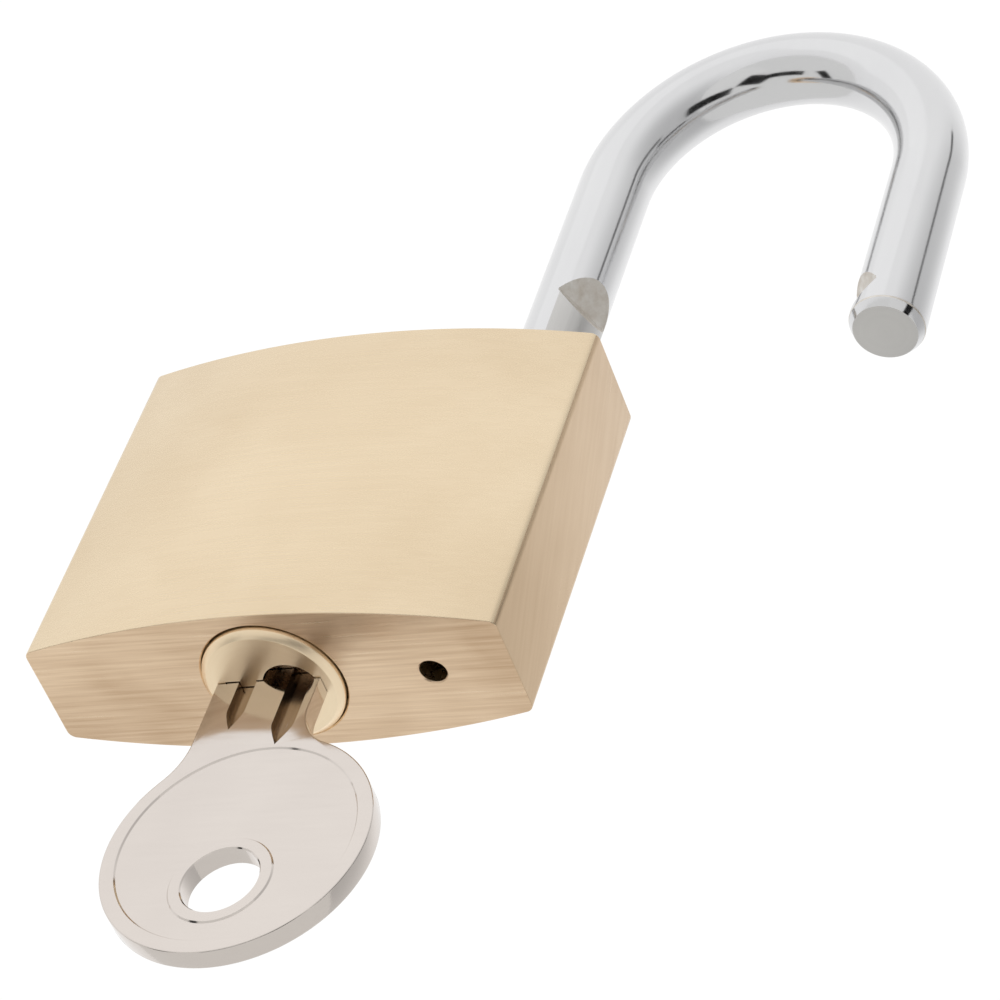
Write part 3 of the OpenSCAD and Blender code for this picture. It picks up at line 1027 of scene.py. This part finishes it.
@dataclass
class CoilSprings:
    """The shackle's spring and the five driver springs, swept from round wire."""

    per_turn: int = 28
    sides: int = 16
    slack: float = 0.01
    main_wire: float = 0.9
    main_turns: float = 8.5
    driver_wire: float = 0.36
    driver_turns: float = 8

    def coil(self, name: str, node: str, along_x: bool, wire: float, turns: float) -> SweptBar:
        """One spring that fills its CAD node's box.

        Args:
            name: name of the piece.
            node: the CAD node that it stands for.
            along_x: True if the spring lies along X instead of Z.
            wire: diameter of the wire.
            turns: number of turns.

        Returns:
            The bar to sweep.
        """
        low, high = low_high_mm(node)
        centre = (low + high) / 2
        length = (high.x - low.x) if along_x else (high.z - low.z)
        coil_r = (high.y - low.y) / 2 - wire / 2
        path = []
        steps = int(turns * self.per_turn)
        for i in range(steps + 1):
            a = math.tau * i / self.per_turn
            rise = wire / 2 + (length - wire) * i / steps
            over, up = coil_r * math.sin(a), coil_r * math.cos(a)
            if along_x:
                path.append(Vector((low.x + rise, centre.y + over, centre.z - up)))
            else:
                path.append(Vector((centre.x + up, over, low.z + rise)))
        return SweptBar(name, path, [1.0] * len(path), wire / 2 - self.slack, self.sides)

    def build(self, tree: bpy.types.NodeTree) -> None:
        """Makes all six springs."""
        node = "shackle_spring"
        main = self.coil("shackle_coil_spring", node, False, self.main_wire, self.main_turns)
        adopt(main.to_object(tree, SPRING_STEEL), "block", "spring_steel", node)
        for i in range(1, 6):
            name, node = f"driver_coil_spring_{i}", f"driver_spring_{i}"
            small = self.coil(name, node, True, self.driver_wire, self.driver_turns)
            adopt(small.to_object(tree, SPRING_STEEL), "block", "spring_steel", node)


# ---------------------------------------------------------------- key


@dataclass(frozen=True)
class Channel:
    """A groove milled in the key's front face, with a pointed run-out."""

    x: float
    width: float
    end_z: float


@dataclass
class Key:
    """The key: round bow, neck, and a blade with five cuts."""

    thickness: float = 2.2
    bow_r: float = 13.6
    bow: Point = (3.6, -22.2)
    ring_hole_r: float = 3.9
    ring_rim: float = 1.2
    ring_drop: float = 4.7
    rim: float = 1.5
    face_depth: float = 0.15
    neck: Point = (-5.5, 5.7)
    blends: Point = (8.0, 5.0)
    shoulder_z: float = -0.95
    blade: Point = (-4.5, 4.6)
    tip_z: float = 24.2
    first_cut_z: float = 5.5
    cut_pitch: float = 4.0
    cut_depth: float = 0.5
    cut_ramp: float = 0.5
    cut_step: float = 0.5
    cut_flat: float = 1.1
    tip_slope: float = 1.6
    tip_flat: float = 3.0
    tip_rise: float = 3.4
    mill_depth: float = 0.75
    run_out: Point = (0.42, 1.6)
    soft_mouth: float = 0.12
    channels: tuple[Channel, Channel] = (Channel(-2.1, 2.0, -7.4), Channel(3.65, 2.5, -9.7))
    edge_r: float = 0.16

    def blend(self, neck_x: float, radius: float) -> tuple[list[Point], float]:
        """The concave blend between one side of the neck and the bow.

        Args:
            neck_x: where that side of the neck is.
            radius: radius of the blend.

        Returns:
            Its points from the neck to the bow, and the bow's angle where they touch.
        """
        side = math.copysign(1, neck_x)
        cx = neck_x + side * radius
        cz = self.bow[1] + math.sqrt((self.bow_r + radius) ** 2 - (cx - self.bow[0]) ** 2)
        touch = math.degrees(math.atan2(cz - self.bow[1], cx - self.bow[0]))
        start = 180.0 if side > 0 else 0.0
        stop = touch + 180.0 if side > 0 else touch - 180.0
        return arc((cx, cz), radius, start, stop, 14), touch

    def outline(self) -> list[Point]:
        """The whole key seen from the front, anticlockwise, in X and Z."""
        right, right_touch = self.blend(self.neck[1], self.blends[1])
        left, left_touch = self.blend(self.neck[0], self.blends[0])
        points = arc(self.bow, self.bow_r, left_touch, 360 + right_touch, 150)
        points += list(reversed(right))[1:]
        points.append((self.neck[1], self.shoulder_z))
        points.append((self.blade[1], self.shoulder_z))
        points.append((self.blade[1], self.first_cut_z - self.cut_flat - self.cut_ramp))
        for i in range(5):
            depth = self.blade[1] - self.cut_depth - i * self.cut_step
            middle = self.first_cut_z + i * self.cut_pitch
            points.append((depth, middle - self.cut_flat))
            points.append((depth, middle + self.cut_flat))
        points.append((depth - self.tip_slope, self.tip_z))
        points.append((self.blade[0] + self.tip_flat, self.tip_z))
        points.append((self.blade[0], self.tip_z - self.tip_rise))
        points.append((self.blade[0], self.shoulder_z))
        points.append((self.neck[0], self.shoulder_z))
        points += left[:-1]
        return points

    def channel_tool(self, channel: Channel) -> Mesh:
        """A milling cut along the blade that rises to a point in the neck."""
        mesh = Mesh("channel")
        face = -self.thickness / 2
        start = channel.end_z + self.run_out[0] * channel.width + self.run_out[1]
        stations = [(self.tip_z + 1, 1.0, 1.0), (start, 1.0, 1.0)]
        steps = 8
        for i in range(1, steps + 1):
            t = i / steps
            width = max(0.02, 1 - t**1.3)
            depth = max(0.03, math.sqrt(max(0.0, 1 - t**2)))
            stations.append((start + (channel.end_z - start) * t, width, depth))
        rings = []
        for z, width, depth in stations:
            half = channel.width / 2 * width
            floor = face + self.mill_depth * depth
            outside = face - 0.5
            corners = [(-half, outside), (half, outside), (half * 0.9, floor), (-half * 0.9, floor)]
            rings.append(mesh.ring([(channel.x + x, y, z) for x, y in corners]))
        mesh.skin(rings)
        return mesh

    def dish_tool(self, side: float) -> Mesh:
        """The shallow dish of one face, which leaves the rim and the ring round the hole.

        Args:
            side: -1 for the front face, 1 for the back.

        Returns:
            The tool.
        """
        d = self.face_depth
        outer = self.bow_r - self.rim
        inner = self.ring_hole_r + self.ring_rim
        disc = lathe("dish", [(outer - d, -d), (outer + d, d)], 160).to_object()
        keep = lathe("ring_keep", [(inner + 2 * d, -2 * d), (inner - 2 * d, 2 * d)], 96)
        keep.bm.transform(Matrix.Translation((0, -self.ring_drop, 0)))
        combine(disc, [keep], solver="EXACT")
        mesh = Mesh("dish_tool")
        mesh.bm.from_mesh(disc.data)
        mesh.bm.transform(Matrix.Scale(1 / MM, 4))
        bpy.data.objects.remove(disc)
        if side > 0:
            mesh.bm.transform(Matrix.Diagonal((1, 1, -1, 1)))
        mesh.stand_up((self.bow[0], side * self.thickness / 2, self.bow[1]))
        return mesh

    def hole_tool(self) -> Mesh:
        """The key ring hole with a small chamfer at both mouths."""
        half, soft = self.thickness / 2, self.soft_mouth
        r = self.ring_hole_r
        profile = [
            (r + soft + 1, -half - 1),
            (r, -half + soft),
            (r, half - soft),
            (r + soft + 1, half + 1),
        ]
        mesh = lathe("ring_hole", profile, 96)
        return mesh.stand_up((self.bow[0], 0, self.bow[1] - self.ring_drop))

    def build(self) -> None:
        """Makes the key and dresses its faces and milled channels."""
        half = self.thickness / 2
        blank = rounded_prism("key_blank", self.outline(), -half, half, self.edge_r)
        obj = blank.stand_up((0, 0, 0)).to_object()
        obj.name = "key_with_round_bow"
        tools = [self.dish_tool(-1), self.dish_tool(1), self.hole_tool()]
        tools += [self.channel_tool(channel) for channel in self.channels]
        combine(obj, tools, solver="EXACT")
        clean(obj, 25.0)
        dress(obj, NICKEL_KEY, NICKEL_MILLED_PAINTED_SHADE)
        # Faces sunk in the milled grooves take the darker finish, which is partly painted shade in
        # the grooves.
        for face in obj.data.polygons:
            centre = face.center / MM
            inside = any(
                abs(centre.x - c.x) < c.width / 2 and centre.z > c.end_z for c in self.channels
            )
            sunk = -half + NEAR_MM < centre.y < 0
            face.material_index = 1 if inside and sunk else 0
        part_finishes(obj)
        adopt(obj, "key", "key_nickel", "key")


# ---------------------------------------------------------------- plug


@dataclass
class Plug:
    """The turned plug with its warded keyway, seen as a disc in the block's bottom face."""

    head_chamfer: float = 0.6
    head_top: float = 2.1
    edge_r: float = 0.08
    body_r: float = 6.45
    groove_r: float = 5.0
    groove_height: float = 2.4
    keyway_slack: float = 0.1
    keyway_top: float = 24.5
    tang: float = 4.2
    tang_height: float = 1.9
    recess_r: float = 3.0
    recess_x: float = 2.3
    recess_depth: float = 1.5
    pin_slack: float = 0.05
    pin_start: float = 0.3

    def keyway(self, key: Key) -> list[Point]:
        """Section of the keyway, anticlockwise, with a ward for each channel of the key."""
        grow = self.keyway_slack
        left, right = key.blade[0] - grow, key.blade[1] + grow
        front, back = -key.thickness / 2 - grow, key.thickness / 2 + grow
        ward = front + key.mill_depth
        points = [(left, front)]
        for channel in key.channels:
            half = channel.width / 2 - grow
            points += [(channel.x - half, front), (channel.x - half, ward)]
            if channel.x + half < right:
                points += [(channel.x + half, ward), (channel.x + half, front)]
        points.append((right, points[-1][1]))
        return points + [(right, back), (left, back)]

    def build(self, key: Key) -> None:
        """Makes the plug round the key's section."""
        low, high = low_high_mm("plug")
        pin_low, pin_high = low_high_mm("plug_retaining_pin")
        groove_z = (pin_low.z + pin_high.z) / 2
        head_r = high.x
        top = high.z - self.tang_height
        face, cut, soft = low.z, self.head_chamfer, self.edge_r
        profile = [
            (head_r - cut - soft, face),
            (head_r - cut, face + soft * 0.6),
            (head_r - soft * 0.4, face + cut - soft * 0.4),
            (head_r, face + cut + soft * 0.4),
            (head_r, self.head_top),
            (self.body_r, self.head_top),
            (self.body_r, groove_z - self.groove_height / 2),
            (self.groove_r, groove_z - self.groove_height / 2),
            (self.groove_r, groove_z + self.groove_height / 2),
            (self.body_r, groove_z + self.groove_height / 2),
            (self.body_r, top),
        ]
        obj = lathe("plug_with_keyway", profile, 128).to_object()
        half = self.tang / 2
        square = [(-half, -half), (half, -half), (half, half), (-half, half)]
        combine(obj, [rounded_prism("tang", square, top - 0.5, high.z, 0)], "UNION")
        slot = rounded_prism("keyway", self.keyway(key), face - 1, self.keyway_top, 0)
        floor = face + self.recess_depth
        recess = Bore("recess", self.recess_r, floor, face - 1, (self.recess_x, 0))
        tools = [slot, recess.tool()]
        for i in range(1, 6):
            low_i, high_i = low_high_mm(f"key_pin_{i}")
            radius = (high_i.z - low_i.z) / 2 + self.pin_slack
            hole = bore(f"pin_bore_{i}", radius, self.pin_start, self.body_r)
            hole.bm.transform(Matrix.Rotation(math.radians(90), 4, "Y"))
            hole.bm.transform(Matrix.Translation((0, 0, (low_i.z + high_i.z) / 2)))
            tools.append(hole)
        combine(obj, tools)
        clean(obj)
        dress(obj, BRASS_TURNED, BRASS_KEYWAY_PAINTED_SHADE)
        # The keyway's sunk faces take the dark brass, which is painted shade inside the slot; the
        # rest stays turned brass.
        for polygon in obj.data.polygons:
            centre = polygon.center / MM
            sunk = face + NEAR_MM < centre.z < self.keyway_top + 0.5
            inward = Vector((polygon.normal.x, polygon.normal.y)).dot(centre.xy) <= 0.001
            inside = centre.xy.length < self.body_r - 0.1
            polygon.material_index = 1 if sunk and inward and inside else 0
        part_finishes(obj)
        adopt(obj, "core", "brass_plug_face", "plug")


# ---------------------------------------------------------------- inner works


@dataclass(frozen=True)
class InnerWorks:
    """The CAD nodes that keep their own shape, each with its finish."""

    caps: tuple[str, ...] = ("chamber_caps", "plug_retaining_pin", "bolt_channel_cap")
    steel: tuple[str, ...] = (
        "spring_cap", "heel_bolt", "heel_bolt_peg", "toe_bolt", "toe_bolt_peg",
    )

    def build(self) -> None:
        """Dresses every node."""
        finishes = {name: BRASS_CAP for name in self.caps}
        finishes.update({name: STEEL for name in self.steel})
        finishes["cam_disc"] = BRASS_CAM
        for i in range(1, 6):
            finishes[f"key_pin_{i}"] = BRASS_PIN
            finishes[f"driver_pin_{i}"] = BRASS_PIN
        for name, finish in finishes.items():
            dress(frame["nodes"][name], finish)
            log.info("%s dressed in %s", name, finish.name)


# ---------------------------------------------------------------- studio


@dataclass(frozen=True)
class Softbox:
    """An area light that looks at the padlock."""

    name: str
    azimuth: float
    elevation: float
    distance: float
    size: float
    power: float
    colour: Colour = (1.0, 1.0, 1.0)


@dataclass(frozen=True)
class Card:
    """A dark or white card that only reflections see."""

    name: str
    azimuth: float
    elevation: float
    distance: float
    size: Point
    colour: Colour


@dataclass
class Studio:
    """Camera, floor, lights and cards."""

    position: tuple[float, float, float] = (166.3, -223.1, -235.5)
    azimuth: float = 33.72
    elevation: float = 44.08
    roll: float = 20.23
    lens: float = 134.8
    middle: tuple[float, float, float] = (0.015, 0.0, 0.03)
    floor_z: float = -600.0
    floor_half: float = 4000.0
    softboxes: tuple[Softbox, ...] = (
        Softbox("key_light", -30.0, 35.0, 0.9, 0.7, 0.12),
        Softbox("low_light", 40.0, -20.0, 0.9, 0.7, 0.06),
    )
    cards: tuple[Card, ...] = (
        Card("window_post", 79.0, 44.0, 0.5, (0.035, 0.30), (0.16, 0.16, 0.16)),
        Card("dark_high_right", 92.0, 20.0, 0.5, (0.10, 0.22), (0.01, 0.01, 0.01)),
        Card("dark_right", 72.0, -12.0, 0.5, (0.15, 0.34), (0.01, 0.01, 0.01)),
        Card("dark_low_right", 48.0, -48.0, 0.5, (0.22, 0.26), (0.01, 0.01, 0.01)),
        Card("dark_low_front", -5.0, -62.0, 0.5, (0.34, 0.12), (0.01, 0.01, 0.01)),
        Card("dark_low_left", -66.0, -38.0, 0.5, (0.22, 0.10), (0.01, 0.01, 0.01)),
    )

    def direction(self, azimuth: float, elevation: float) -> Vector:
        """Unit vector towards a place round the padlock; azimuth 0 is the front, 90 the right."""
        a, e = math.radians(azimuth), math.radians(elevation)
        return Vector((math.sin(a) * math.cos(e), -math.cos(a) * math.cos(e), math.sin(e)))

    def facing(self, azimuth: float, elevation: float, distance: float) -> Matrix:
        """Places something at a distance so that its -Z axis looks at the padlock's middle."""
        out = self.direction(azimuth, elevation)
        turn = out.to_track_quat("Z", "Y").to_matrix().to_4x4()
        return Matrix.Translation(Vector(self.middle) + out * distance) @ turn

    def camera(self) -> None:
        """Sets up the camera."""
        data = bpy.data.cameras.new("camera")
        data.lens = self.lens
        data.sensor_width = 36.0
        data.clip_start = 0.01
        camera = bpy.data.objects.new("camera", data)
        bpy.context.scene.collection.objects.link(camera)
        a, e = math.radians(self.azimuth), math.radians(self.elevation)
        ahead = Vector((-math.sin(a) * math.cos(e), math.cos(a) * math.cos(e), math.sin(e)))
        level = ahead.cross(Vector((0, 0, 1))).normalized()
        above = level.cross(ahead)
        roll = math.radians(self.roll)
        right = level * math.cos(roll) + above * math.sin(roll)
        up = above * math.cos(roll) - level * math.sin(roll)
        turn = Matrix((right, up, -ahead)).transposed().to_4x4()
        camera.matrix_world = Matrix.Translation(Vector(self.position) * MM) @ turn
        bpy.context.scene.camera = camera

    def world(self) -> None:
        """White surroundings, darker towards the floor and to the right."""
        world = bpy.data.worlds.new("studio")
        bpy.context.scene.world = world
        bpy.context.scene.view_settings.view_transform = "Standard"
        world.use_nodes = True
        tree = world.node_tree
        background = tree.nodes["Background"]
        place = add_node(tree, "ShaderNodeTexCoord")
        split = add_node(tree, "ShaderNodeSeparateXYZ")
        shade_right = add_node(tree, "ShaderNodeMapRange", interpolation_type="SMOOTHSTEP")
        shade_right.inputs["From Min"].default_value = 0.2
        shade_right.inputs["From Max"].default_value = 0.9
        shade_right.inputs["To Min"].default_value = 1.0
        shade_right.inputs["To Max"].default_value = 0.6
        both = add_node(tree, "ShaderNodeMath", operation="MULTIPLY")
        ramp = add_node(tree, "ShaderNodeMapRange")
        ramp.inputs["From Min"].default_value = -0.8
        ramp.inputs["From Max"].default_value = 0.2
        ramp.inputs["To Min"].default_value = 0.85
        ramp.inputs["To Max"].default_value = 1.03
        tree.links.new(place.outputs["Generated"], split.inputs["Vector"])
        tree.links.new(split.outputs["Z"], ramp.inputs["Value"])
        tree.links.new(split.outputs["X"], shade_right.inputs["Value"])
        tree.links.new(ramp.outputs["Result"], both.inputs[0])
        tree.links.new(shade_right.outputs["Result"], both.inputs[1])
        tree.links.new(both.outputs["Value"], background.inputs["Strength"])
        background.inputs["Color"].default_value = (1.0, 1.0, 1.0, 1.0)

    def floor(self) -> None:
        """A pale floor far below."""
        half = self.floor_half
        mesh = Mesh("studio_floor")
        corners = [(-half, -half), (half, -half), (half, half), (-half, half)]
        mesh.bm.faces.new(mesh.ring([(x, y, self.floor_z) for x, y in corners]))
        obj = mesh.to_object()
        paint = bpy.data.materials.new("floor_paint")
        paint.use_nodes = True
        surface = paint.node_tree.nodes["Principled BSDF"]
        surface.inputs["Base Color"].default_value = (0.85, 0.85, 0.84, 1.0)
        surface.inputs["Roughness"].default_value = 0.8
        obj.data.materials.append(paint)

    def lights(self) -> None:
        """The softboxes."""
        for box in self.softboxes:
            data = bpy.data.lights.new(box.name, "AREA")
            data.shape = "SQUARE"
            data.size = box.size
            data.energy = box.power
            data.color = box.colour
            light = bpy.data.objects.new(box.name, data)
            bpy.context.scene.collection.objects.link(light)
            light.matrix_world = self.facing(box.azimuth, box.elevation, box.distance)

    def reflectors(self) -> None:
        """The cards, hidden from the camera."""
        for card in self.cards:
            mesh = Mesh(card.name)
            half_w, half_h = card.size[0] / 2, card.size[1] / 2
            corners = [(-half_w, -half_h), (half_w, -half_h), (half_w, half_h), (-half_w, half_h)]
            mesh.bm.faces.new(mesh.ring([(x / MM, y / MM, 0) for x, y in corners]))
            obj = mesh.to_object()
            obj.data.transform(self.facing(card.azimuth, card.elevation, card.distance))
            paint = bpy.data.materials.new(card.name)
            paint.use_nodes = True
            surface = paint.node_tree.nodes["Principled BSDF"]
            surface.inputs["Base Color"].default_value = (*card.colour, 1.0)
            surface.inputs["Roughness"].default_value = 1.0
            surface.inputs["Specular IOR Level"].default_value = 0.0
            obj.data.materials.append(paint)
            obj.visible_camera = False
            obj.visible_diffuse = False
            obj.visible_shadow = False

    def build(self) -> None:
        """Sets up everything round the padlock."""
        self.camera()
        self.world()
        self.floor()
        self.lights()
        self.reflectors()


# ---------------------------------------------------------------- all of it


def main() -> None:
    """Builds the studio and every sub-assembly in order."""
    logging.basicConfig(level=logging.INFO, format="%(name)s: %(message)s")
    Studio().build()
    for group in (brushing_group, patches_group, turning_group):
        group()
    sweep = sweep_tree()
    Block().build()
    Shackle().build(sweep)
    CoilSprings().build(sweep)
    key = Key()
    key.build()
    Plug().build(key)
    InnerWorks().build()
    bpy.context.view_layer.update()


if __name__ == "__main__":
    main()
